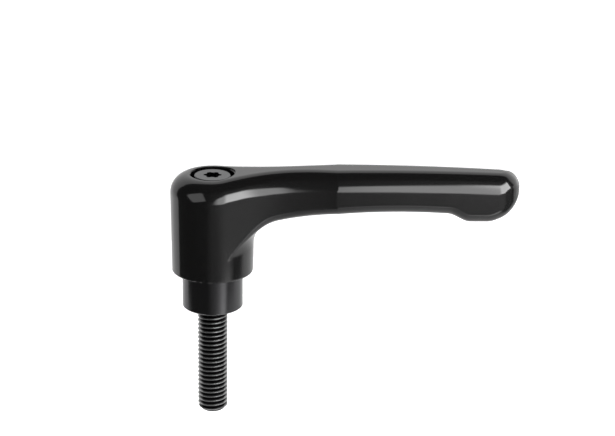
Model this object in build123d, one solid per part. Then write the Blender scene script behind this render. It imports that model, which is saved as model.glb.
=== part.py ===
from build123d import *
from math import acos, atan2, cos, hypot, pi, radians, sin, sqrt, tan
import os

# Adjustable clamping lever with a male stud, in millimetres.
# Frame: +Z up along the stud's axis, origin at the centre of the lower clamping face,
# arm along +X, stud down along -Z.
# A die-cast handle rides on a serrated steel insert. A screw and a spring hold it down
# in mesh. Lifting the handle frees it, so that it can swing to other teeth.

# --- stud -----------------------------------------------------------------
stud_diameter = 8.0
stud_pitch = 1.25
stud_reach = 30.0
stud_engagement = 10.0
stud_end_chamfer = 1.0

# --- serrated insert ------------------------------------------------------
collar_diameter = 16.1
collar_exposed = 10.0
collar_inside = 6.0
collar_chamfer = 0.25
mouth_clearance = 0.8
tooth_count = 24
tooth_length = 4.2
tooth_step_in = 0.2
tooth_depth = 0.9
tooth_land = 0.3
tooth_clearance = 0.12
tooth_start_gap = 0.3

# --- retaining screw ------------------------------------------------------
head_diameter = 9.8
head_height = 2.8
head_below_top = 0.3
head_edge_round = 0.35
shoulder_diameter = 6.5
shoulder_clearance = 0.25
thread_diameter = 5.0
thread_pitch = 0.8
thread_length = 8.0
thread_hole_extra = 0.5
recess_across = 4.7
recess_lobe_radius = 0.45
recess_flute_radius = 0.95
recess_depth = 1.7

# --- spring ---------------------------------------------------------------
spring_wire = 1.1
spring_clearance = 0.4
spring_turns = 5.0

# --- handle hub -----------------------------------------------------------
hub_diameter = 22.35
hub_foot_diameter = 21.6
hub_height = 26.85
hub_top_round = 5.0
hub_rim_round = 0.5
bore_clearance = 0.5
web_thickness = 3.0
counterbore_clearance = 0.95

# --- handle arm, seen from above ------------------------------------------
arm_length = 80.5
neck_at = 22.0
neck_width = 12.0
flank_length = 4.0
neck_grip_radius = 72.0
grip_from = 32.7
grip_end_width = 11.4

# --- handle arm, seen from the side ---------------------------------------
arm_root_at = 2.0
arm_root_inset = 0.6
neck_top_mid_at = 14.0
neck_top_end_at = 30.0
neck_rise_mid = 1.35
neck_rise_end = 2.1
grip_top_mid_at = 46.0
grip_rise_mid = 2.25
grip_rise_end = 1.5
underside_from = 16.0
underside_mid_at = 38.0
underside_depth_hub = 11.5
underside_depth_mid = 8.9
underside_depth_end = 8.9
bump_slope_length = 6.0
bump_drop = 2.2
bump_flat_length = 4.6
tip_top_round = 4.0
tip_low_length = 8.4
tip_low_height = 8.0
tip_low_power = 1.7
hub_edge_round = 4.8
neck_edge_round = 4.9
grip_edge_round = 4.7
hub_low_edge_round = 2.4
low_edge_round = 3.0
tip_steps = 6
tip_sweep = 84.0
low_round_from = 26.0
gusset_radius = 8.0
gusset_sweep = 80.0
gusset_inset = 0.3
gusset_overlap = 2.0
gusset_round_step = 0.02
gusset_round_tries = 20

# --- heights and radii that follow ----------------------------------------
collar_length = collar_exposed + collar_inside
insert_height = collar_length + tooth_length
tooth_tip_diameter = collar_diameter - 2 * tooth_step_in
bore_diameter = collar_diameter + 2 * bore_clearance
counterbore_diameter = head_diameter + 2 * counterbore_clearance
spring_diameter = shoulder_diameter + 2 * spring_clearance + spring_wire
hub_radius = hub_diameter / 2
hub_bottom = collar_exposed
hub_top = hub_bottom + hub_height
web_top = insert_height + web_thickness
head_top = hub_top - head_below_top
head_underside = head_top - head_height
neck_half = neck_width / 2
# The neck's arc meets a straight flank of this length, tangent to it and to the hub.
neck_hub_radius = neck_at**2 + neck_half**2 - hub_radius**2 - flank_length**2
neck_hub_radius /= 2 * (hub_radius - neck_half)
end_half = grip_end_width / 2
bump_end = arm_length - tip_low_length - bump_flat_length
bump_from = bump_end - bump_slope_length


def pitch_diameter(diameter, pitch):
    """Where two meshing metric threads meet, halfway up their flanks."""
    return diameter - 0.75 * sqrt(0.75) * pitch


def polar(radius, angle, centre=(0.0, 0.0)):
    """A point at a radius and an angle in radians from a centre."""
    return (centre[0] + radius * cos(angle), centre[1] + radius * sin(angle))


def disc(diameter, bottom, top):
    """An upright cylinder between two heights."""
    base = (Align.CENTER, Align.CENTER, Align.MIN)
    return Pos(0, 0, bottom) * Cylinder(diameter / 2, top - bottom, align=base)


def turned(*corners):
    """A solid turned about the Z axis from its outline of (radius, height) corners."""
    outline = Polyline(*[(radius, 0, height) for radius, height in corners], close=True)
    return revolve(make_face(outline), Axis.Z)


def toothed_prism(clearance, bottom, top):
    """A serrated prism: straight flanks, with narrow lands on every tip and root."""
    tip = tooth_tip_diameter / 2 + clearance
    root = tip - tooth_depth
    step = 2 * pi / tooth_count
    land = tooth_land / tip / 2
    corners = []
    for tooth in range(tooth_count):
        middle = tooth * step
        valley = middle + step / 2
        corners += [polar(tip, middle - land), polar(tip, middle + land)]
        corners += [polar(root, valley - land), polar(root, valley + land)]
    return Pos(0, 0, bottom) * extrude(make_face(Polyline(*corners, close=True)), top - bottom)


# --- handle ---------------------------------------------------------------
# The flank leaves the hub's round along the tangent that it shares with the neck's arc.
neck_centre_y = neck_half + neck_hub_radius
flank_angle = atan2(neck_centre_y, neck_at)
flank_angle += acos((hub_radius + neck_hub_radius) / hypot(neck_at, neck_centre_y))
flank_start = polar(hub_radius, flank_angle)
flank_end = polar(neck_hub_radius, flank_angle + pi, (neck_at, neck_centre_y))


def neck_arc(x, radius):
    """Half the arm's width where the neck curves in at a radius about its narrowest place."""
    return neck_half + radius - sqrt(radius**2 - (x - neck_at) ** 2)


def half_width(x):
    """Half the arm's width: flank, neck, taper of the grip and round end."""
    if x <= flank_end[0]:
        return flank_start[1] - (x - flank_start[0]) / tan(flank_angle)
    if x <= neck_at:
        return neck_arc(x, neck_hub_radius)
    if x <= grip_from:
        return neck_arc(x, neck_grip_radius)
    round_from = arm_length - end_half
    if x <= round_from:
        widest = neck_arc(grip_from, neck_grip_radius)
        return widest + (end_half - widest) * (x - grip_from) / (round_from - grip_from)
    return sqrt(end_half**2 - (x - round_from) ** 2)


def bow(x, start, middle, end):
    """Height on the shallow bow through three points, each (x, height)."""
    points = (start, middle, end)
    height = 0
    for here in points:
        share = 1
        for other in points:
            if other is not here:
                share *= (x - other[0]) / (here[0] - other[0])
        height += here[1] * share
    return height


def upper(x):
    """Height of the arm's top line: out of the hub, up along the neck, over the grip."""
    neck_end = (neck_top_end_at, hub_top + neck_rise_end)
    if x <= neck_top_end_at:
        return bow(x, (arm_root_at, hub_top), (neck_top_mid_at, hub_top + neck_rise_mid), neck_end)
    middle = (grip_top_mid_at, hub_top + grip_rise_mid)
    height = bow(x, neck_end, middle, (arm_length, hub_top + grip_rise_end))
    past = max(0, x - (arm_length - tip_top_round))
    return height - tip_top_round + sqrt(tip_top_round**2 - past**2)


def lower(x):
    """Height of the arm's underside: bow, slope down to the end bump, flat and round tip."""
    start = (underside_from, hub_top - underside_depth_hub)
    middle = (underside_mid_at, hub_top - underside_depth_mid)
    end = (bump_from, hub_top - underside_depth_end)
    if x <= underside_from:
        return start[1]
    if x <= bump_from:
        return bow(x, start, middle, end)
    slope = min(1, (x - bump_from) / bump_slope_length)
    bump = end[1] - bump_drop * slope**2 * (3 - 2 * slope)
    past = max(0, x - (arm_length - tip_low_length)) / tip_low_length
    return bump + tip_low_height * (1 - (1 - past**tip_low_power) ** (1 / tip_low_power))


def upper_round(x):
    """Radius of the arm's upper edges, which shrinks from the hub to the grip."""
    if x <= neck_at:
        along = max(0, x - arm_root_at) / (neck_at - arm_root_at)
        return hub_edge_round + (neck_edge_round - hub_edge_round) * along
    along = min(1, (x - neck_at) / (grip_from - neck_at))
    return neck_edge_round + (grip_edge_round - neck_edge_round) * along


def lower_round(x):
    """Radius of the arm's lower edges, which grows from the gusset to the grip."""
    along = min(1, max(0, x - underside_from) / (low_round_from - underside_from))
    return hub_low_edge_round + (low_edge_round - hub_low_edge_round) * along


def arm_section(x, inset=0.0):
    """Cross-section of the arm at x: a rounded block, with softer edges above than below."""
    half = half_width(x) - inset
    high, low = upper(x), lower(x)
    softest, below = upper_round(x), lower_round(x)
    room = min(1, 0.85 * (high - low) / (softest + below), 0.9 * half / softest)
    corners = (
        (half, high, softest * room),
        (half, low, below * room),
        (-half, low, below * room),
        (-half, high, softest * room),
    )
    outline = []
    for y, z, radius in corners:
        out_y = 1 if y > 0 else -1
        out_z = 1 if z == high else -1
        centre = (y - out_y * radius, z - out_z * radius)
        on_side = (y, centre[1])
        on_flat = (centre[0], z)
        middle = (centre[0] + out_y * radius * sqrt(0.5), centre[1] + out_z * radius * sqrt(0.5))
        start, end = (on_flat, on_side) if out_y == out_z else (on_side, on_flat)
        if outline:
            outline.append(Line(outline[-1] @ 1, start))
        outline.append(ThreePointArc(start, middle, end))
    outline.append(Line(outline[-1] @ 1, outline[0] @ 0))
    return Plane(origin=(x, 0, 0), x_dir=(0, 1, 0), z_dir=(1, 0, 0)) * make_face(outline)


def arm():
    """The arm: short lofts end to end, each through three evenly spaced sections."""
    bends = [
        (flank_start[0] + flank_end[0]) / 2,
        flank_end[0],
        (flank_end[0] + neck_at) / 2,
        neck_at,
        (neck_at + grip_from) / 2,
        grip_from,
        (grip_from + bump_from) / 2,
        bump_from,
        (bump_from + bump_end) / 2,
        bump_end,
        arm_length - tip_low_length,
    ]
    last = arm_section(arm_root_at, arm_root_inset)
    last_at = arm_root_at
    body = Part()
    for x in bends:
        end = arm_section(x)
        body += loft([last, arm_section((last_at + x) / 2), end])
        last, last_at = end, x
    # Round the tip: sections at even steps of the angle round its lower corner.
    tip = [last]
    for step in range(1, tip_steps + 1):
        angle = radians(tip_sweep * step / tip_steps)
        tip.append(arm_section(arm_length - tip_low_length * (1 - sin(angle))))
    for first in range(0, tip_steps, 2):
        body += loft(tip[first : first + 3])
    return body


def hub():
    """The hub's outside: a drafted barrel with a large round up to the flat top."""
    foot = hub_foot_diameter / 2
    rim = foot - hub_rim_round
    shoulder = hub_top - hub_top_round
    flat = hub_radius - hub_top_round
    rim_middle = polar(hub_rim_round, -pi / 4, (rim, hub_bottom + hub_rim_round))
    top_middle = polar(hub_top_round, pi / 4, (flat, shoulder))

    def at(radius, height):
        return (radius, 0, height)

    outline = [
        Line(at(0, hub_bottom), at(rim, hub_bottom)),
        ThreePointArc(at(rim, hub_bottom), at(*rim_middle), at(foot, hub_bottom + hub_rim_round)),
        Line(at(foot, hub_bottom + hub_rim_round), at(hub_radius, shoulder)),
        ThreePointArc(at(hub_radius, shoulder), at(*top_middle), at(flat, hub_top)),
        Line(at(flat, hub_top), at(0, hub_top)),
        Line(at(0, hub_top), at(0, hub_bottom)),
    ]
    return revolve(make_face(outline), Axis.Z)


def gusset():
    """The flare under the arm: a fillet rolled round the hub, kept between the arm's flanks.

    Its two lower edges are curves. They are rounded like the arm's own, as far as its walls leave room.
    """
    end_angle = pi - radians(gusset_sweep)
    end_at = hub_radius + gusset_radius + gusset_radius * cos(end_angle)
    centre = (hub_radius + gusset_radius, lower(end_at) - gusset_radius * sin(end_angle))
    middle = polar(gusset_radius, (pi + end_angle) / 2, centre)
    end = polar(gusset_radius, end_angle, centre)
    inside = hub_radius - gusset_overlap
    roof = end[1] + gusset_overlap
    outline = [
        Line((inside, 0, centre[1]), (hub_radius, 0, centre[1])),
        ThreePointArc((hub_radius, 0, centre[1]), (middle[0], 0, middle[1]), (end[0], 0, end[1])),
        Line((end[0], 0, end[1]), (end[0], 0, roof)),
        Line((end[0], 0, roof), (inside, 0, roof)),
        Line((inside, 0, roof), (inside, 0, centre[1])),
    ]
    stations = (flank_start[0], flank_end[0], (flank_end[0] + neck_at) / 2, neck_at)
    side = [(x, half_width(x) - gusset_inset) for x in stations]
    between = make_face(Polyline(*side, *[(x, -y) for x, y in reversed(side)], close=True))
    body = revolve(make_face(outline), Axis.Z) & extrude(between, hub_top)
    creases = [edge for edge in body.edges() if edge.geom_type not in (GeomType.LINE, GeomType.CIRCLE)]
    widest = body.max_fillet(creases, gusset_round_step, gusset_round_tries)
    return fillet(creases, min(hub_low_edge_round, widest))


def handle():
    """The die-cast handle: hub, arm and gusset in one, with its stepped and serrated hole."""
    teeth_bottom = collar_length + tooth_start_gap
    body = hub() + arm() + gusset()
    body -= disc(bore_diameter, hub_bottom, teeth_bottom)
    body -= toothed_prism(tooth_clearance, teeth_bottom, insert_height)
    body -= disc(shoulder_diameter + 2 * shoulder_clearance, insert_height, web_top)
    body -= disc(counterbore_diameter, web_top, hub_top + neck_rise_end)
    return body


# --- steel parts ----------------------------------------------------------
def serrated_insert():
    """Round collar with a serrated head, tapped from both ends."""
    radius = collar_diameter / 2
    hole = pitch_diameter(stud_diameter, stud_pitch)
    mouth = stud_diameter / 2 + mouth_clearance
    body = turned(
        (0, 0),
        (radius - collar_chamfer, 0),
        (radius, collar_chamfer),
        (radius, collar_length),
        (0, collar_length),
    )
    body += toothed_prism(0, collar_length, insert_height)
    body -= disc(hole, 0, stud_engagement)
    body -= turned((0, 0), (mouth, 0), (hole / 2, mouth - hole / 2), (0, mouth - hole / 2))
    screw_hole = pitch_diameter(thread_diameter, thread_pitch)
    body -= disc(screw_hole, insert_height - thread_length - thread_hole_extra, insert_height)
    return body


def threaded_stud():
    """The stud: its free thread at the outer diameter, chamfered, and its end in the insert."""
    radius = stud_diameter / 2
    held = pitch_diameter(stud_diameter, stud_pitch) / 2
    return turned(
        (0, -stud_reach),
        (radius - stud_end_chamfer, -stud_reach),
        (radius, -stud_reach + stud_end_chamfer),
        (radius, 0),
        (held, 0),
        (held, stud_engagement),
        (0, stud_engagement),
    )


def six_lobe_recess():
    """The driver recess: six round lobes with hollow flutes between them."""
    lobe_ring = recess_across / 2 - recess_lobe_radius
    flute_ring = recess_across / 2 + recess_flute_radius / 2
    star = Sketch() + Circle(recess_across / 2)
    for flute in range(6):
        star -= Pos(*polar(flute_ring, radians(60 * flute + 30))) * Circle(recess_flute_radius)
    for lobe in range(6):
        star += Pos(*polar(lobe_ring, radians(60 * lobe))) * Circle(recess_lobe_radius)
    return Pos(0, 0, head_top - recess_depth) * extrude(star, recess_depth)


def retaining_screw():
    """Flat-headed shoulder screw: its shoulder stands on the insert and its thread goes in."""
    head = disc(head_diameter, head_underside, head_top)
    head = fillet(head.edges().group_by(Axis.Z)[-1], head_edge_round)
    screw = head + disc(shoulder_diameter, insert_height, head_underside)
    held = pitch_diameter(thread_diameter, thread_pitch)
    screw += disc(held, insert_height - thread_length, insert_height)
    return screw - six_lobe_recess()


def spring():
    """Compression spring between the handle's web and the screw head."""
    wire = spring_wire / 2
    height = head_underside - web_top - spring_wire
    path = Pos(0, 0, web_top + wire) * Helix(height / spring_turns, height, spring_diameter / 2)
    profile = Plane(origin=path @ 0, z_dir=path % 0) * Circle(wire)
    return sweep(profile, path=path, is_frenet=True)


pieces = {
    "handle": handle,
    "serrated_insert": serrated_insert,
    "threaded_stud": threaded_stud,
    "retaining_screw": retaining_screw,
    "spring": spring,
}
os.makedirs("parts", exist_ok=True)
for name, make in pieces.items():
    export_step(make(), f"parts/{name}.step")
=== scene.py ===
"""Adjustable clamping lever: the looks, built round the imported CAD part."""
import math

import bmesh
import bpy
import numpy as np
from mathutils import Matrix, Vector

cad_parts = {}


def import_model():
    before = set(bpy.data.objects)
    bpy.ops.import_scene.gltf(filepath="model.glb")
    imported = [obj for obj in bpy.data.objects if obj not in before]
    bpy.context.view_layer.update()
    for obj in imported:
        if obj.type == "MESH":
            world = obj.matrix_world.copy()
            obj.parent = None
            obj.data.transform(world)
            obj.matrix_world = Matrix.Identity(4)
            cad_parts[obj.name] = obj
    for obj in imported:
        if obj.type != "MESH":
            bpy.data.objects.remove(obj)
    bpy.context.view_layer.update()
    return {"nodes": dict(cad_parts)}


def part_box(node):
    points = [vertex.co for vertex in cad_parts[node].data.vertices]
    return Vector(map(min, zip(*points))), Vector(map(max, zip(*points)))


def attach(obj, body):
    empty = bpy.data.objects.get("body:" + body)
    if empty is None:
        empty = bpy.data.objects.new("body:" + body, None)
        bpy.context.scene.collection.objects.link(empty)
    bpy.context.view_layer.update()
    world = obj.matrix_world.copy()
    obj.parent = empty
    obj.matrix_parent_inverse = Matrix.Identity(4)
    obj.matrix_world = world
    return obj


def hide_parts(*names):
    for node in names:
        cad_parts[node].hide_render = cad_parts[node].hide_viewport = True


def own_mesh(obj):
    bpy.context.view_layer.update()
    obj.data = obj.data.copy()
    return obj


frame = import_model()

MM = 0.001
handle_low, handle_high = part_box("handle")
insert_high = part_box("serrated_insert")[1]
stud_low, stud_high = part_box("threaded_stud")
screw_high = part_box("retaining_screw")[1]
spring_low, spring_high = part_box("spring")

# --- the handle's outside, in millimetres -----------------------------------
HUB_TAPER = 0.375
HUB_HEIGHT = 26.85
HUB_RADIUS = -handle_low.x / MM
HUB_FOOT_RADIUS = HUB_RADIUS - HUB_TAPER
HUB_BOTTOM = handle_low.z / MM
HUB_TOP = HUB_BOTTOM + HUB_HEIGHT
HUB_TOP_ROUND = 5.0
HUB_RIM_ROUND = 0.5
ARM_LENGTH = 80.5
NECK_AT = 22.0
NECK_HALF = 6.0
FLANK_LENGTH = 4.0
NECK_GRIP_RADIUS = 72.0
GRIP_FROM = 32.7
GRIP_END_HALF = 5.7
ROOT_AT = 2.0
NECK_EDGE_ROUND = 4.9
GRIP_EDGE_ROUND = 4.7
LOW_EDGE_ROUND = 3.0
GUSSET_EDGE_ROUND = 2.4
LOW_ROUND_FROM = 26.0
GUSSET_ROOT = 6.0
GUSSET_ROOT_ROUND = 1.2
GUSSET_TIP = 14.0
GUSSET_ROUND = 8.0
GUSSET_END = 17.8
TIP_TOP_ROUND = 4.0
TIP_LOW_LENGTH = 8.4
TIP_LOW_HEIGHT = 8.0
TIP_LOW_POWER = 1.7
BUMP_SLOPE = 6.0
BUMP_FLAT = 4.6
BUMP_DROP = 2.2
TOP_BLEND = 0.3
# Bows of the top and of the underside: three points each, in x and height over the hub's top.
NECK_TOP = ((2.0, 0.0), (14.0, 1.35), (30.0, 2.1))
GRIP_TOP = ((30.0, 2.1), (46.0, 2.25), (80.5, 1.5))
UNDERSIDE = ((16.0, -11.5), (38.0, -8.9), (61.5, -8.9))
TOP_FLAT_UNTIL = NECK_TOP[0][0] - 8
SLOPE_STEP = 0.01
# The skin's mesh: its grid, and how near and how alike a face must be to take the exact shading.
SKIN_STEP = 0.4
SHADED_WITHIN = 0.01
SHADED_ALIKE = 0.8
SKIN_SHARP_ANGLE = math.radians(32)
WELD = 2e-6

NECK_HUB_RADIUS = (NECK_AT**2 + NECK_HALF**2 - HUB_RADIUS**2 - FLANK_LENGTH**2) / (
    2 * (HUB_RADIUS - NECK_HALF)
)
NECK_CENTRE_Y = NECK_HALF + NECK_HUB_RADIUS
FLANK_ANGLE = math.atan2(NECK_CENTRE_Y, NECK_AT) + math.acos(
    (HUB_RADIUS + NECK_HUB_RADIUS) / math.hypot(NECK_AT, NECK_CENTRE_Y)
)
FLANK_END = NECK_AT - NECK_HUB_RADIUS * math.cos(FLANK_ANGLE)
GRIP_HALF = NECK_HALF + NECK_GRIP_RADIUS - math.sqrt(
    NECK_GRIP_RADIUS**2 - (GRIP_FROM - NECK_AT) ** 2
)
ROUND_FROM = ARM_LENGTH - GRIP_END_HALF
TAPER = math.atan2(GRIP_HALF - GRIP_END_HALF, ROUND_FROM - GRIP_FROM)
BUMP_END = ARM_LENGTH - TIP_LOW_LENGTH - BUMP_FLAT
BUMP_FROM = BUMP_END - BUMP_SLOPE


# A surface is a pair: the distance outside it at each point, and the direction out of it.
def rounded(first, second, radius):
    """What lies inside both surfaces, with the edge between them rounded."""
    (a, out_a), (b, out_b) = first, second
    facing = (out_a * out_b).sum(-1)
    spread = np.maximum(1 - facing**2, 1e-6)
    share_a = (a + radius - (b + radius) * facing) / spread
    share_b = (b + radius - (a + radius) * facing) / spread
    arm = share_a[..., None] * out_a + share_b[..., None] * out_b
    reach = np.sqrt((arm**2).sum(-1))
    on_edge = (share_a > 0) & (share_b > 0)
    distance = np.where(on_edge, reach - radius, np.maximum(a, b))
    flat = np.where((a > b)[..., None], out_a, out_b)
    return distance, np.where(on_edge[..., None], arm / np.maximum(reach, 1e-9)[..., None], flat)


def joined(first, second, radius):
    """What lies inside either surface, with the inner corner between them filled."""
    (a, out_a), (b, out_b) = first, second
    distance, out = rounded((-a, -out_a), (-b, -out_b), radius)
    return -distance, -out


def ring(x, y, centre, radius):
    """Distance outside a circle, and the two parts of the direction out of it."""
    along, across = x - centre[0], y - centre[1]
    far = np.maximum(np.hypot(along, across), 1e-9)
    return far - radius, along / far, across / far


def bow(x, points):
    """Height on the shallow bow through three points."""
    height = 0
    for here in points:
        share = here[1]
        for other in points:
            if other is not here:
                share = share * (x - other[0]) / (here[0] - other[0])
        height = height + share
    return height


def level(x, z, height_at, side):
    """The surface over (side 1) or under (side -1) a line whose height is a function of x."""
    slope = (height_at(x + SLOPE_STEP) - height_at(x - SLOPE_STEP)) / (2 * SLOPE_STEP)
    length = np.sqrt(1 + slope**2)
    out = np.stack([-side * slope / length, 0 * x, side / length], -1)
    return side * (z - height_at(x)) / length, out


def top_height(x):
    """Height of the arm's top line: flat over the hub, up along the neck, over the grip."""
    neck = bow(x, NECK_TOP)
    blended = (neck + TOP_BLEND) ** 2 / (4 * TOP_BLEND)
    neck = np.where(neck > TOP_BLEND, neck, np.where(neck < -TOP_BLEND, 0, blended))
    line = np.where(x < NECK_TOP[-1][0], neck, bow(x, GRIP_TOP))
    return HUB_TOP + np.where(x < TOP_FLAT_UNTIL, 0, line)


def low_height(x):
    """Height of the arm's underside: straight over the gusset, a bow, then down to the bump."""
    start = bow(GUSSET_END, UNDERSIDE)
    rise = (bow(GUSSET_END + SLOPE_STEP, UNDERSIDE) - start) / SLOPE_STEP
    bowed = bow(np.minimum(x, BUMP_FROM), UNDERSIDE)
    line = np.where(x < GUSSET_END, start + rise * (x - GUSSET_END), bowed)
    slope = np.clip((x - BUMP_FROM) / BUMP_SLOPE, 0, 1)
    return HUB_TOP + line - BUMP_DROP * slope**2 * (3 - 2 * slope)


def plan(x, y, z):
    """The handle's upright walls: hub, flanks, neck, grip and round end."""
    side = np.where(y < 0, -1, 1)
    y = np.abs(y)
    barrel = HUB_FOOT_RADIUS + (HUB_RADIUS - HUB_FOOT_RADIUS) * np.clip(
        (z - HUB_BOTTOM) / (HUB_TOP - HUB_TOP_ROUND - HUB_BOTTOM), 0, 1
    )
    hub = ring(x, y, (0, 0), barrel)
    cos, sin = math.cos(FLANK_ANGLE), math.sin(FLANK_ANGLE)
    along_flank = np.clip((x - HUB_RADIUS * cos) / (FLANK_END - HUB_RADIUS * cos), 0, 1)
    reach = barrel + (HUB_RADIUS - barrel) * along_flank
    flank = (x * cos + y * sin - reach, cos + 0 * x, sin + 0 * x)
    neck = [-part for part in ring(x, y, (NECK_AT, NECK_CENTRE_Y), NECK_HUB_RADIUS)]
    rise = [-part for part in ring(x, y, (NECK_AT, NECK_HALF + NECK_GRIP_RADIUS), NECK_GRIP_RADIUS)]
    cos, sin = math.cos(TAPER), math.sin(TAPER)
    grip = ((y - GRIP_HALF) * cos + (x - GRIP_FROM) * sin, sin + 0 * x, cos + 0 * x)
    end = ring(x, y, (ROUND_FROM, 0), GRIP_END_HALF)
    where = [np.arctan2(y, x) > FLANK_ANGLE, x < FLANK_END, x < NECK_AT, x < GRIP_FROM, x < ROUND_FROM]
    parts = zip(hub, flank, neck, rise, grip, end)
    distance, along, across = [np.select(where, part[:-1], part[-1]) for part in parts]
    return (distance, np.stack([along, across * side, 0 * x], -1)), hub


def tip_underside(x, z):
    """The underside of the round tip: a quarter of a superellipse."""
    across = np.maximum((x - (ARM_LENGTH - TIP_LOW_LENGTH)) / TIP_LOW_LENGTH, 0)
    centre = low_height(np.float64(ARM_LENGTH)) + TIP_LOW_HEIGHT
    down = np.maximum((centre - z) / TIP_LOW_HEIGHT, 0)
    power = TIP_LOW_POWER
    total = np.maximum(across**power + down**power, 1e-9)
    scale = total ** (1 / power - 1)
    slope_x = scale * across ** (power - 1) / TIP_LOW_LENGTH
    slope_z = -scale * down ** (power - 1) / TIP_LOW_HEIGHT
    steep = np.maximum(np.hypot(slope_x, slope_z), 1e-6)
    distance = (total ** (1 / power) - 1) / steep
    return distance, np.stack([slope_x / steep, 0 * x, slope_z / steep], -1)


def handle_surface(points):
    """The outside of the casting, without its holes."""
    x, y, z = points[..., 0], points[..., 1], points[..., 2]
    walls, hub = plan(x, y, z)
    side = np.where(y < 0, -1, 1)
    barrel = (hub[0], np.stack([hub[1], hub[2] * side, 0 * x], -1))
    end_wall = (x - ARM_LENGTH, np.broadcast_to((1.0, 0.0, 0.0), points.shape))
    top = rounded(level(x, z, top_height, 1), end_wall, TIP_TOP_ROUND)
    along_neck = np.clip((x - ROOT_AT) / (NECK_AT - ROOT_AT), 0, 1)
    along_grip = np.clip((x - NECK_AT) / (GRIP_FROM - NECK_AT), 0, 1)
    edge = HUB_TOP_ROUND + (NECK_EDGE_ROUND - HUB_TOP_ROUND) * along_neck
    edge = edge + (GRIP_EDGE_ROUND - NECK_EDGE_ROUND) * along_grip
    upper = rounded(walls, top, edge)
    low, tip = level(x, z, low_height, -1), tip_underside(x, z)
    at_tip = x > BUMP_END
    underside = (np.where(at_tip, tip[0], low[0]), np.where(at_tip[..., None], tip[1], low[1]))
    past_gusset = np.clip((x - UNDERSIDE[0][0]) / (LOW_ROUND_FROM - UNDERSIDE[0][0]), 0, 1)
    on_gusset = np.clip((x - GUSSET_ROOT) / (GUSSET_TIP - GUSSET_ROOT), 0, 1)
    edge = GUSSET_ROOT_ROUND + (GUSSET_EDGE_ROUND - GUSSET_ROOT_ROUND) * on_gusset
    edge = edge + (LOW_EDGE_ROUND - GUSSET_EDGE_ROUND) * past_gusset
    lower = rounded(walls, joined(barrel, underside, GUSSET_ROUND), edge)
    foot = (HUB_BOTTOM - z, np.broadcast_to((0.0, 0.0, -1.0), points.shape))
    lower = rounded(lower, foot, HUB_RIM_ROUND)
    higher = upper[0] > lower[0]
    return np.where(higher, upper[0], lower[0]), np.where(higher[..., None], upper[1], lower[1])


def surface_net(surface, low, high, step):
    """Vertices and quads on a surface, one vertex in each cell of a grid that it crosses."""
    lines = [np.arange(a - 2 * step, b + 3 * step, step) for a, b in zip(low, high)]
    grid = np.stack(np.meshgrid(*lines, indexing="ij"), -1)
    values = np.concatenate([surface(slab)[0] for slab in np.array_split(grid, 24)])
    inside = values < 0
    cells = np.zeros(np.array(values.shape) - 1, int)
    for i, j, k in np.ndindex(2, 2, 2):
        cells += inside[i : i + cells.shape[0], j : j + cells.shape[1], k : k + cells.shape[2]]
    crossed = (cells > 0) & (cells < 8)
    number = np.full(cells.shape, -1)
    number[crossed] = np.arange(crossed.sum())
    where = np.argwhere(crossed)
    total, hits = np.zeros((len(where), 3)), np.zeros(len(where))
    quads = []
    for axis in range(3):
        unit = np.eye(3, dtype=int)[axis]
        for i, j in np.ndindex(2, 2):
            start = where + np.insert((i, j), axis, 0)
            a, b = values[tuple(start.T)], values[tuple((start + unit).T)]
            cut = (a < 0) != (b < 0)
            share = np.where(cut, a / np.where(cut, a - b, 1), 0)
            total += np.where(cut[:, None], start + share[:, None] * unit, 0)
            hits += cut
        before = np.take(inside, range(inside.shape[axis] - 1), axis)
        after = np.take(inside, range(1, inside.shape[axis]), axis)
        edges = np.argwhere(before != after)
        u, v = np.roll(np.eye(3, dtype=int), -axis - 1, 0)[:2]
        loop = np.stack([number[tuple((edges + o).T)] for o in (-u - v, -v, 0 * u, -u)], 1)
        flip = ~before[tuple(edges.T)]
        loop[flip] = loop[flip][:, ::-1]
        quads.append(loop)
    return grid[0, 0, 0] + step * total / hits[:, None], np.concatenate(quads)


def settle(surface, points, quads, rounds=4):
    """Evens out the vertices and pulls each back onto the surface."""
    ends = np.concatenate([quads[:, [i, (i + 1) % 4]] for i in range(4)])
    ends = np.concatenate([ends, ends[:, ::-1]])
    count = np.bincount(ends[:, 0], minlength=len(points))
    for _ in range(rounds):
        mean = [np.bincount(ends[:, 0], points[ends[:, 1], i], len(points)) / count for i in range(3)]
        points = (points + np.stack(mean, 1)) / 2
        for _ in range(3):
            distance, out = surface(points)
            points = points - distance[:, None] * out
    return points


def mesh_object(name, points, faces):
    """A smooth-shaded mesh object from points in millimetres."""
    mesh = bpy.data.meshes.new(name)
    mesh.from_pydata((np.asarray(points) * MM).tolist(), [], [list(face) for face in faces])
    mesh.validate()
    mesh.shade_smooth()
    piece = bpy.data.objects.new(name, mesh)
    bpy.context.scene.collection.objects.link(piece)
    return piece


def lathe(name, outline, steps):
    """A closed mesh turned about Z from (radius, height) points, bottom to top."""
    turns = np.linspace(0, 2 * np.pi, steps, endpoint=False)
    points = [(r * math.cos(a), r * math.sin(a), z) for r, z in outline for a in turns]
    faces = []
    for row in range(len(outline) - 1):
        for column in range(steps):
            after = (column + 1) % steps
            low, high = row * steps, (row + 1) * steps
            faces.append((low + column, low + after, high + after, high + column))
    faces.append(tuple(reversed(range(steps))))
    faces.append(tuple(range(len(points) - steps, len(points))))
    return mesh_object(name, points, faces)


def weld(piece):
    """Joins points that coincide, and drops the faces that this leaves with no area."""
    work = bmesh.new()
    work.from_mesh(piece.data)
    bmesh.ops.remove_doubles(work, verts=work.verts, dist=WELD)
    bmesh.ops.dissolve_degenerate(work, edges=work.edges, dist=WELD)
    work.to_mesh(piece.data)
    work.free()


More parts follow.
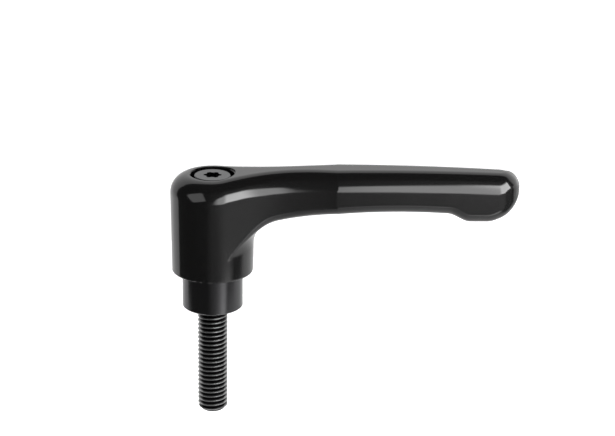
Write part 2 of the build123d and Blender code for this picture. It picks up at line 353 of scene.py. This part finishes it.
def cut(piece, cutter):
    """Takes the cutter's shape out of a piece for good."""
    modifier = piece.modifiers.new("cut", "BOOLEAN")
    modifier.operation = "DIFFERENCE"
    modifier.solver = "EXACT"
    modifier.object = cutter
    view = bpy.context.evaluated_depsgraph_get()
    mesh = bpy.data.meshes.new_from_object(piece.evaluated_get(view))
    piece.modifiers.clear()
    piece.data = mesh
    bpy.data.objects.remove(cutter)


# --- the holes in the handle ------------------------------------------------
COLLAR_RADIUS = insert_high.x / MM
COLLAR_TOP = 16.0
BORE_CLEARANCE = 0.5
WEB_THICKNESS = 3.0
COUNTERBORE_CLEARANCE = 0.95
TOOTH_COUNT = 24
TOOTH_DEPTH = 0.9
TOOTH_LAND = 0.3
TOOTH_CLEARANCE = 0.12
TOOTH_STEP_IN = 0.2
TOOTH_START_GAP = 0.3
INSERT_TOP = insert_high.z / MM
WEB_TOP = INSERT_TOP + WEB_THICKNESS
BORE_RADIUS = COLLAR_RADIUS + BORE_CLEARANCE
SHOULDER_HOLE_RADIUS = 3.5
HEAD_RADIUS = screw_high.x / MM
COUNTERBORE_RADIUS = HEAD_RADIUS + COUNTERBORE_CLEARANCE
RIM_CHAMFER = 0.2
OVERSHOOT = 3.0
HOLE_COLUMNS = 96


def toothed_cutter():
    """The serrated part of the handle's hole."""
    tip = COLLAR_RADIUS - TOOTH_STEP_IN + TOOTH_CLEARANCE
    root = tip - TOOTH_DEPTH
    land = TOOTH_LAND / tip / 2
    ring_points = []
    for tooth in range(TOOTH_COUNT):
        middle = 2 * math.pi * tooth / TOOTH_COUNT
        valley = middle + math.pi / TOOTH_COUNT
        ring_points += [(tip, middle - land), (tip, middle + land)]
        ring_points += [(root, valley - land), (root, valley + land)]
    count = len(ring_points)
    low = COLLAR_TOP + TOOTH_START_GAP / 2
    points = [(r * math.cos(a), r * math.sin(a), z) for z in (low, INSERT_TOP) for r, a in ring_points]
    faces = [(i, (i + 1) % count, count + (i + 1) % count, count + i) for i in range(count)]
    faces += [tuple(reversed(range(count))), tuple(range(count, 2 * count))]
    return mesh_object("teeth", points, faces)


def true_normals(mesh):
    """Shades the casting's outside by its exact surface, so that the reflections run smoothly."""
    count = len(mesh.vertices)
    points, shading = np.empty(count * 3), np.empty(len(mesh.loops) * 3)
    mesh.vertices.foreach_get("co", points)
    mesh.corner_normals.foreach_get("vector", shading)
    owner, corners = np.empty(len(mesh.loops), int), shading.reshape(-1, 3)
    mesh.loops.foreach_get("vertex_index", owner)
    distance, out = handle_surface(points.reshape(-1, 3) / MM)
    alike = (corners * out[owner]).sum(1) > SHADED_ALIKE
    outside = (np.abs(distance[owner]) < SHADED_WITHIN) & alike
    corners = np.where(outside[:, None], out[owner], corners)
    mesh.normals_split_custom_set(corners.tolist())


def handle_skin():
    """The casting: its outside as one skin, with the bore, the teeth and the counterbore cut out."""
    low = np.array(handle_low) / MM
    high = np.array(handle_high) / MM
    points, quads = surface_net(handle_surface, low, high, SKIN_STEP)
    points = settle(handle_surface, points, quads)
    piece = mesh_object("handle_skin", points, quads)
    bore_top = COLLAR_TOP + TOOTH_START_GAP
    bore = [(BORE_RADIUS, HUB_BOTTOM - OVERSHOOT), (BORE_RADIUS, bore_top)]
    cut(piece, lathe("bore", bore, HOLE_COLUMNS))
    cut(piece, toothed_cutter())
    well = [
        (SHOULDER_HOLE_RADIUS, INSERT_TOP - 1),
        (SHOULDER_HOLE_RADIUS, WEB_TOP),
        (COUNTERBORE_RADIUS, WEB_TOP),
        (COUNTERBORE_RADIUS, HUB_TOP - RIM_CHAMFER),
        (COUNTERBORE_RADIUS + RIM_CHAMFER, HUB_TOP),
        (COUNTERBORE_RADIUS + RIM_CHAMFER, HUB_TOP + OVERSHOOT),
    ]
    cut(piece, lathe("well", well, HOLE_COLUMNS))
    piece.data.set_sharp_from_angle(angle=SKIN_SHARP_ANGLE)
    true_normals(piece.data)
    return piece


# --- stud -------------------------------------------------------------------
STUD_RADIUS = stud_high.x / MM
STUD_END = stud_low.z / MM
STUD_TOP = stud_high.z / MM
STUD_PITCH = 1.25
STUD_CHAMFER = 1.0
THREAD_DEPTH = 0.61 * STUD_PITCH
THREAD_ROWS = 14
THREAD_COLUMNS = 64
THREAD_TOP = 2.0
THREAD_SHARP_ANGLE = math.radians(40)
THREAD_FLANK = math.radians(60)
HELD_RADIUS = STUD_RADIUS - 0.375 * math.sqrt(0.75) * STUD_PITCH
MOUTH_RADIUS = STUD_RADIUS + 0.8


def thread_radius(phase):
    """Radius of a metric thread at a share of its pitch: flat crest, straight flanks, round root."""
    from_crest = np.abs((phase + 0.5) % 1 - 0.5) * STUD_PITCH
    down = (from_crest - STUD_PITCH / 16) * math.tan(THREAD_FLANK)
    depth = np.clip(down / THREAD_DEPTH, 0, 1)
    softened = np.where(depth > 0.75, 0.75 + 0.25 * np.sin((depth - 0.75) * 2 * np.pi), depth)
    return STUD_RADIUS - THREAD_DEPTH * np.minimum(softened, 1)


def stud():
    """The stud with its real helical thread. Each row of the mesh runs along the helix."""
    turns = int((THREAD_TOP - STUD_END) / STUD_PITCH + 5)
    row = np.arange(turns * THREAD_ROWS + 1)[:, None] / THREAD_ROWS
    column = np.arange(THREAD_COLUMNS)[None, :] / THREAD_COLUMNS
    z = STUD_END + STUD_PITCH * (row + column - 2)
    held = THREAD_TOP + (z - THREAD_TOP) * (STUD_TOP - THREAD_TOP) / STUD_PITCH
    height = np.clip(np.where(z > THREAD_TOP, held, z), STUD_END, STUD_TOP)
    chamfered = STUD_RADIUS - STUD_CHAMFER + height - STUD_END
    radius = np.minimum(thread_radius(row + 0 * column), chamfered)
    radius = np.minimum(radius, np.maximum(HELD_RADIUS, MOUTH_RADIUS - height))
    past = np.maximum(STUD_END - z, z - THREAD_TOP - STUD_PITCH) / STUD_PITCH
    radius = radius * np.clip(1 - past, 0, 1)
    angle = 2 * np.pi * column
    points = np.stack([radius * np.cos(angle), radius * np.sin(angle), height], -1).reshape(-1, 3)
    first = np.arange(len(points) - THREAD_COLUMNS).reshape(-1, THREAD_COLUMNS)
    after = np.roll(first, -1, 1)
    after[:, -1] += THREAD_ROWS * THREAD_COLUMNS
    quads = np.stack([first, after, after + THREAD_COLUMNS, first + THREAD_COLUMNS], -1)
    piece = mesh_object("stud_thread", points, np.minimum(quads, len(points) - 1).reshape(-1, 4))
    weld(piece)
    piece.data.set_sharp_from_angle(angle=THREAD_SHARP_ANGLE)
    return piece


# --- spring -----------------------------------------------------------------
SPRING_TURNS = 5.0
SPRING_WIRE = 1.1
SPRING_COLUMNS = 12
SPRING_STEPS = 40


def spring():
    """The compression spring, an even coil of round wire."""
    mean = spring_high.x / MM - SPRING_WIRE / 2
    low, high = spring_low.z / MM + SPRING_WIRE / 2, spring_high.z / MM - SPRING_WIRE / 2
    count = int(SPRING_TURNS * SPRING_STEPS)
    along = np.arange(count + 1)[:, None] / count
    around = 2 * np.pi * np.arange(SPRING_COLUMNS)[None, :] / SPRING_COLUMNS
    turn = 2 * np.pi * SPRING_TURNS * along
    radius = mean + SPRING_WIRE / 2 * np.cos(around)
    height = low + (high - low) * along + SPRING_WIRE / 2 * np.sin(around)
    points = np.stack([radius * np.cos(turn), radius * np.sin(turn), height], -1).reshape(-1, 3)
    first = np.arange(count * SPRING_COLUMNS).reshape(-1, SPRING_COLUMNS)
    after = np.roll(first, -1, 1)
    quads = np.stack([first, first + SPRING_COLUMNS, after + SPRING_COLUMNS, after], -1).reshape(-1, 4)
    last = len(points) - 1
    ends = [list(range(SPRING_COLUMNS)), list(range(last, last - SPRING_COLUMNS, -1))]
    return mesh_object("spring_coil", points, quads.tolist() + ends)


# --- materials --------------------------------------------------------------
ORANGE_PEEL = 2.5e-6
TURNING_MARKS = 4e-6
# Depths under the stud's crests where the painted shade of the thread's roots is full and where it
# ends.
ROOT_DEPTH = 0.45
CREST_DEPTH = 0.1


def material(name, colour, roughness, metallic=0.0):
    """A new material: its node tree, its shader, and points in the piece's own metres."""
    made = bpy.data.materials.new(name)
    made.use_nodes = True
    nodes = made.node_tree.nodes
    shader = nodes["Principled BSDF"]
    shader.inputs["Base Color"].default_value = (*colour, 1)
    shader.inputs["Roughness"].default_value = roughness
    shader.inputs["Metallic"].default_value = metallic
    place = nodes.new("ShaderNodeTexCoord").outputs["Object"]
    return made, shader, place


def node(made, kind, **settings):
    """A node with some of its inputs or settings given by name."""
    new = made.node_tree.nodes.new("ShaderNode" + kind)
    for name, value in settings.items():
        label = name.replace("_", " ").title()
        if label in new.inputs:
            new.inputs[label].default_value = value
        else:
            setattr(new, name, value)
    return new


def vary_roughness(made, shader, place, scale, low, high):
    """Roughness that wanders between two values over the surface."""
    link = made.node_tree.links.new
    noise = node(made, "TexNoise", scale=scale, detail=3.0)
    spread = node(made, "MapRange")
    spread.inputs["To Min"].default_value = low
    spread.inputs["To Max"].default_value = high
    link(place, noise.inputs["Vector"])
    link(noise.outputs["Fac"], spread.inputs["Value"])
    link(spread.outputs["Result"], shader.inputs["Roughness"])


def ripple(made, shader, place, scale, depth, stretch=(1, 1, 1)):
    """A fine unevenness of the surface, stretched along an axis for turning marks."""
    link = made.node_tree.links.new
    size = node(made, "Mapping")
    size.inputs["Scale"].default_value = stretch
    noise = node(made, "TexNoise", scale=scale, detail=2.0)
    bump = node(made, "Bump", strength=1.0, distance=depth)
    link(place, size.inputs["Vector"])
    link(size.outputs["Vector"], noise.inputs["Vector"])
    link(noise.outputs["Fac"], bump.inputs["Height"])
    link(bump.outputs["Normal"], shader.inputs["Normal"])


def coating():
    """Glossy black powder coating, with a trace of orange peel."""
    made, shader, place = material("coating", (0.002, 0.002, 0.002), 0.12)
    vary_roughness(made, shader, place, 220.0, 0.10, 0.14)
    ripple(made, shader, place, 900.0, ORANGE_PEEL)
    return made


def black_steel():
    """Turned and blackened steel, with faint marks round the axis."""
    made, shader, place = material("black_steel", (0.065, 0.065, 0.067), 0.17, 1.0)
    vary_roughness(made, shader, place, 900.0, 0.14, 0.22)
    ripple(made, shader, place, 500.0, TURNING_MARKS, (0.2, 0.2, 8))
    return made


def stud_steel():
    """The blackened stud, its thread coloured by radius: the roots darker as painted shade, the crests
    brighter as a painted highlight and as rubbing wear.
    """
    made, shader, place = material("stud_steel", (0.2, 0.2, 0.2), 0.2, 1.0)
    vary_roughness(made, shader, place, 1500.0, 0.16, 0.3)
    link = made.node_tree.links.new
    flat = node(made, "VectorMath", operation="MULTIPLY")
    flat.inputs[1].default_value = (1, 1, 0)
    radius = node(made, "VectorMath", operation="LENGTH")
    # Painted shade and highlight: near black in the thread's roots and light grey on its crests, which
    # stands partly for wear on the crests.
    painted_shade_and_wear = node(made, "MapRange")
    painted_shade_and_wear.inputs["From Min"].default_value = (STUD_RADIUS - ROOT_DEPTH) * MM
    painted_shade_and_wear.inputs["From Max"].default_value = (STUD_RADIUS - CREST_DEPTH) * MM
    shades = node(made, "Mix", data_type="RGBA")
    shades.inputs["A"].default_value = (0.02, 0.02, 0.021, 1)
    shades.inputs["B"].default_value = (0.32, 0.32, 0.32, 1)
    link(place, flat.inputs[0])
    link(flat.outputs["Vector"], radius.inputs[0])
    link(radius.outputs["Value"], painted_shade_and_wear.inputs["Value"])
    link(painted_shade_and_wear.outputs["Result"], shades.inputs["Factor"])
    link(shades.outputs["Result"], shader.inputs["Base Color"])
    return made


def spring_steel():
    """Bright spring wire."""
    made, shader, place = material("spring_steel", (0.35, 0.35, 0.36), 0.3, 1.0)
    vary_roughness(made, shader, place, 800.0, 0.24, 0.36)
    return made


def dress(piece, made):
    """Gives a piece one material in place of what it has."""
    piece.data.materials.clear()
    piece.data.materials.append(made)


skin = handle_skin()
dress(skin, coating())
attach(skin, "handle")
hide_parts("handle")

thread = stud()
dress(thread, stud_steel())
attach(thread, "insert")
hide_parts("threaded_stud")

coil = spring()
dress(coil, spring_steel())
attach(coil, "spring")
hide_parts("spring")
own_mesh(coil)

blackened = black_steel()
for name in ("serrated_insert", "retaining_screw"):
    dress(frame["nodes"][name], blackened)


# --- studio -----------------------------------------------------------------
STAGE_CENTRE = Vector((25, 0, 20)) * MM
FLOOR_HEIGHT = -60 * MM
DARK_ROOM = 0.1
FRONT_DISTANCE = 200
LEFT_BOX_DISTANCE = 150
LEFT_BOX_LIGHT = 1.6
# The large lamp in front: its light at its left end, what is added to the right, and its edges.
LAMP_LIGHT = 5.0
LAMP_RIGHT_EXTRA = 6.5
LAMP_HIGHEST = 41
LAMP_BOTTOM = -10
LAMP_BOTTOM_RISE = 7
# The glow that the room gives at the left and the right, and the bright spots low down.
GLOW_LEFT = 0.2
GLOW_RIGHT = 0.36
GLOW_FADE = 0.42
LOW_GLOW = 0.7
LOW_SPOT = 1.9
LOW_SPOT_AT = 38
LOW_SPOT_WIDTH = 15
# The table close under the object (at its left, and what is added to the right), and behind it.
TABLE_NEAR = 0.6
TABLE_NEAR_EXTRA = 0.6
TABLE_BEHIND = 1.15


def towards(azimuth, elevation):
    """Unit direction: azimuth 0 is the camera's side (-Y), positive to the right (+X)."""
    azimuth, elevation = math.radians(azimuth), math.radians(elevation)
    flat = math.cos(elevation)
    return Vector((math.sin(azimuth) * flat, -math.cos(azimuth) * flat, math.sin(elevation)))


def stage_sheet(name, corners, radiance, faces=None):
    """A sheet of light that the camera doesn't see. It shows in reflections."""
    sheet = mesh_object(name, corners, faces or [range(len(corners))])
    made = bpy.data.materials.new(name)
    made.use_nodes = True
    nodes, links = made.node_tree.nodes, made.node_tree.links
    nodes.clear()
    glow, out = nodes.new("ShaderNodeEmission"), nodes.new("ShaderNodeOutputMaterial")
    glow.inputs["Color"].default_value = (1, 1, 1, 1)
    glow.inputs["Strength"].default_value = radiance
    links.new(glow.outputs[0], out.inputs["Surface"])
    dress(sheet, made)
    sheet.visible_camera = False
    sheet.visible_diffuse = False
    sheet.visible_shadow = False
    return sheet


def lit_panel(name, eye, corners, distance, radiance):
    """A flat lamp with its corners in given directions (azimuth, elevation) from an eye."""
    middle = sum((towards(*corner) for corner in corners), Vector()).normalized()
    rays = [towards(*corner) for corner in corners]
    points = [Vector(eye) + ray * (distance / ray.dot(middle)) for ray in rays]
    panel = stage_sheet(name, points, radiance)
    panel.visible_diffuse = True
    return panel


def lit_grid(name, across, along, place, radiance_at):
    """A sheet of small faces whose light changes smoothly: a point and a radiance for each (u, v)."""
    spots = [(u, v) for v in along for u in across]
    levels = [float(radiance_at(*spot)) for spot in spots]
    columns = len(across)
    starts = [row * columns + column for row in range(len(along) - 1) for column in range(columns - 1)]
    faces = [(i, i + 1, i + 1 + columns, i + columns) for i in starts]
    sheet = stage_sheet(name, [place(*spot) for spot in spots], 1.0, faces)
    sheet.data.attributes.new("radiance", "FLOAT", "POINT").data.foreach_set("value", levels)
    nodes, links = sheet.active_material.node_tree.nodes, sheet.active_material.node_tree.links
    reader = nodes.new("ShaderNodeAttribute")
    reader.attribute_name = "radiance"
    links.new(reader.outputs["Fac"], nodes["Emission"].inputs["Strength"])
    return sheet


def ramp(value, start, end):
    """0 before the start, 1 past the end, and smooth between them."""
    share = np.clip((value - start) / (end - start), 0, 1)
    return share**2 * (3 - 2 * share)


def front_radiance(azimuth, elevation):
    """The room in front: dark, with a glow low down and the large lamp on the right."""
    light = LAMP_LIGHT + LAMP_RIGHT_EXTRA * ramp(azimuth, 21, 33)
    top = min(10 + 2.4 * azimuth, 19 + 0.75 * azimuth, LAMP_HIGHEST)
    bottom = LAMP_BOTTOM + LAMP_BOTTOM_RISE * ramp(azimuth, 20, 34)
    inside = ramp(azimuth, -8, 12) * ramp(top - elevation, -4, 4) * ramp(elevation - bottom, -2, 2)
    glow = GLOW_LEFT * ramp(azimuth, -25, -3) + GLOW_RIGHT * ramp(azimuth, 0, 34)
    glow -= GLOW_FADE * ramp(azimuth, 40, 60)
    glow *= 0.35 + 0.65 * ramp(-elevation, -12, 12)
    low = LOW_GLOW * ramp(azimuth, -12, 14) * ramp(-elevation, 24, 34)
    spot = math.exp(-(((azimuth - LOW_SPOT_AT) / LOW_SPOT_WIDTH) ** 2))
    low += LOW_SPOT * spot * ramp(-elevation, 23, 27)
    return DARK_ROOM + light * inside + (1 - inside) * (glow + low)


def front_place(azimuth, elevation):
    """A point on the ball that the room in front is painted on."""
    return STAGE_CENTRE / MM + towards(azimuth, elevation) * FRONT_DISTANCE


def table_place(x, y):
    """A point just over the floor."""
    return x, y, FLOOR_HEIGHT / MM + 1


def card_radiance(x, y):
    """The pale table: lit close under the object and behind it, dark farther in front."""
    away = math.hypot(max(abs(x - 35) - 45, 0), y)
    near = TABLE_NEAR + TABLE_NEAR_EXTRA * ramp(x, 10, 80)
    front = DARK_ROOM + near * (1 - ramp(away, 60, 120))
    return front + (TABLE_BEHIND - front) * ramp(y, -30, 40)


def floor():
    """A pale floor: its own light makes it white to the camera, and it keeps the shadow."""
    reach = 3000
    height = FLOOR_HEIGHT / MM
    around = ((-reach, -reach), (reach, -reach), (reach, reach), (-reach, reach))
    sheet = mesh_object("floor", [(x, y, height) for x, y in around], [range(4)])
    made = bpy.data.materials.new("floor")
    made.use_nodes = True
    nodes, links = made.node_tree.nodes, made.node_tree.links
    nodes.clear()
    path, glow = nodes.new("ShaderNodeLightPath"), nodes.new("ShaderNodeEmission")
    matt = nodes.new("ShaderNodeBsdfDiffuse")
    both, out = nodes.new("ShaderNodeAddShader"), nodes.new("ShaderNodeOutputMaterial")
    matt.inputs["Color"].default_value = (0.85, 0.85, 0.85, 1)
    glow.inputs["Color"].default_value = (1, 1, 1, 1)
    links.new(path.outputs["Is Camera Ray"], glow.inputs["Strength"])
    links.new(glow.outputs[0], both.inputs[0])
    links.new(matt.outputs[0], both.inputs[1])
    links.new(both.outputs[0], out.inputs["Surface"])
    dress(sheet, made)
    sheet.visible_glossy = False


def world():
    """White to the camera, a dark room to everything else."""
    made = bpy.data.worlds.new("studio")
    bpy.context.scene.world = made
    made.use_nodes = True
    nodes, links = made.node_tree.nodes, made.node_tree.links
    nodes.clear()
    path = nodes.new("ShaderNodeLightPath")
    pale, dark = nodes.new("ShaderNodeBackground"), nodes.new("ShaderNodeBackground")
    pale.inputs["Color"].default_value = (1, 1, 1, 1)
    dark.inputs["Color"].default_value = (DARK_ROOM, DARK_ROOM, DARK_ROOM, 1)
    mix, out = nodes.new("ShaderNodeMixShader"), nodes.new("ShaderNodeOutputWorld")
    links.new(path.outputs["Is Camera Ray"], mix.inputs[0])
    links.new(dark.outputs[0], mix.inputs[1])
    links.new(pale.outputs[0], mix.inputs[2])
    links.new(mix.outputs[0], out.inputs["Surface"])


world()
floor()
left_corners = [(-75, 20), (-50, -8), (-15, 8), (-35, 52)]
lit_panel("left_box", (-2, -9, 31), left_corners, LEFT_BOX_DISTANCE, LEFT_BOX_LIGHT)
front = lit_grid("front", range(-100, 82, 2), range(-60, 61, 2), front_place, front_radiance)
front.visible_diffuse = True
back_corners = [(-3000, 900, -1100), (3000, 900, -1100), (3000, 900, 1500), (-1800, 900, 1500)]
stage_sheet("backdrop", back_corners, 1.0)
lit_grid("table", range(-600, 701, 20), range(-90, 701, 15), table_place, card_radiance)
bpy.context.scene.view_settings.view_transform = "Standard"

# --- camera -----------------------------------------------------------------
CAMERA_ELEVATION = math.radians(19.70)
CAMERA_ROLL = math.radians(0.79)
CAMERA_DISTANCE = 600 * MM
CAMERA_LENS = 133.2
CAMERA_TARGET = Vector((25.02, 0, 24.88)) * MM


def make_camera():
    """A long lens, looking down at the lever and tilted a little."""
    back = Vector((0, -math.cos(CAMERA_ELEVATION), math.sin(CAMERA_ELEVATION)))
    right = Vector((1, 0, 0))
    right = Matrix.Rotation(CAMERA_ROLL, 3, back) @ right
    up = back.cross(right)
    data = bpy.data.cameras.new("camera")
    data.lens = CAMERA_LENS
    data.sensor_width = 36
    camera = bpy.data.objects.new("camera", data)
    bpy.context.scene.collection.objects.link(camera)
    camera.matrix_world = Matrix.Translation(CAMERA_TARGET + back * CAMERA_DISTANCE) @ Matrix(
        (right, up, back)
    ).transposed().to_4x4()
    bpy.context.scene.camera = camera


make_camera()
